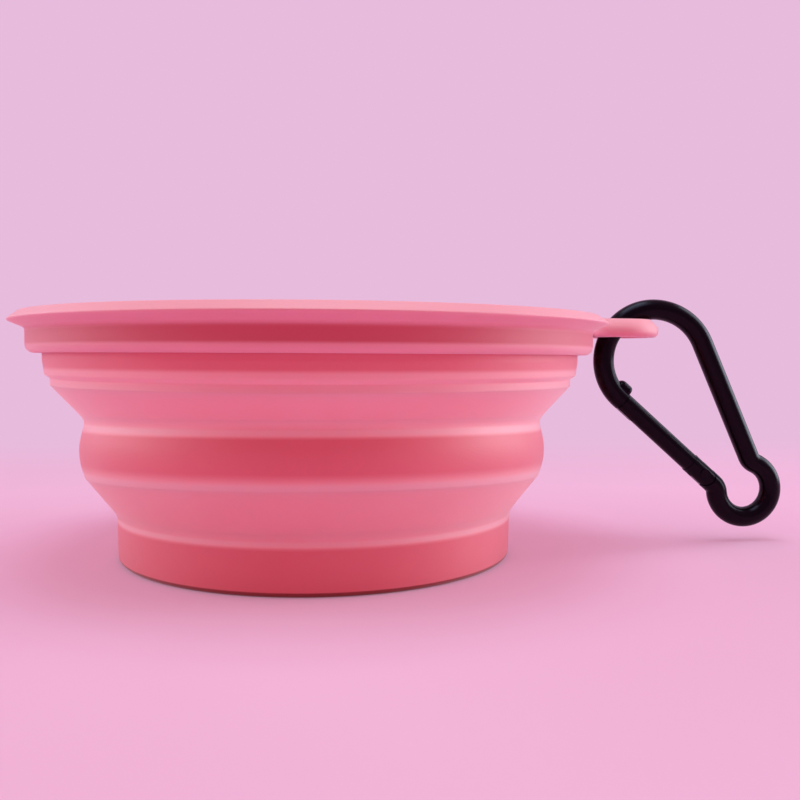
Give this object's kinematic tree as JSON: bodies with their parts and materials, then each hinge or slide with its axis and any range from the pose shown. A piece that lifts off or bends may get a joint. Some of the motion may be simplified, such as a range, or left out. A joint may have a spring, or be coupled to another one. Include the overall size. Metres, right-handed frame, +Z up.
{
  "type": "collapsible silicone bowl",
  "caption": "Round collapsible bowl with stiff bands joined by thin webs that fold, a hard rim ring with a hanging tab, and a small sprung snap hook through the tab.",
  "frame": {"origin": "centre of the flat face that the bowl rests on", "axes": "+Z up through the bowl's mouth, +X towards the hanging tab and the snap hook"},
  "size_m": [0.1767, 0.13, 0.058],
  "materials": {
    "rim_plastic": "satin moulded plastic, pink",
    "silicone": "matte moulded silicone, pink",
    "black_aluminium": "glossy black anodised",
    "black_steel": "blackened",
    "bare_steel": "bright wire and turned pin"
  },
  "bodies": {
    "rim": {"rim_ring": "rim_plastic", "upper_band": "silicone", "upper_fold": "silicone"},
    "middle": {"middle_band": "silicone", "lower_fold": "silicone"},
    "base": {"base_cup": "silicone"},
    "hook": {"hook_frame": "black_aluminium"},
    "gate": {"gate_arm": "black_aluminium", "gate_rivet": "black_steel", "gate_latch_pin": "black_steel", "gate_spring": "bare_steel"},
    "plunger": {"gate_plunger": "bare_steel"}
  },
  "joints": [
    {"name": "middle_rise", "type": "slide", "parent": "rim", "child": "middle", "axis": [0, 0, 1], "range_m": [0, 0.014], "deforming": ["upper_fold"]},
    {"name": "base_rise", "type": "slide", "parent": "middle", "child": "base", "axis": [0, 0, 1], "range_m": [0, 0.0136], "deforming": ["lower_fold"]},
    {"name": "hook_swing", "type": "hinge", "parent": "rim", "child": "hook", "pos_m": [0.0794, 0, 0.0436], "axis": [0, -1, 0], "range_deg": [0, 85]},
    {"name": "gate_open", "type": "hinge", "parent": "hook", "child": "gate", "pos_m": [0.09196, 0, 0.01653], "axis": [0, 1, 0], "range_deg": [0, 28], "stiffness_Nm_per_rad": 0.001, "springref_deg": -45.84},
    {"name": "plunger_slide", "type": "slide", "parent": "gate", "child": "plunger", "axis": [-0.7501, 0, 0.6613], "range_m": [0, 0.00083], "deforming": ["gate_spring"]}
  ],
  "couplings": [
    {"joint": "gate_open", "follows": "plunger_slide", "rad_per_m": 588}
  ]
}
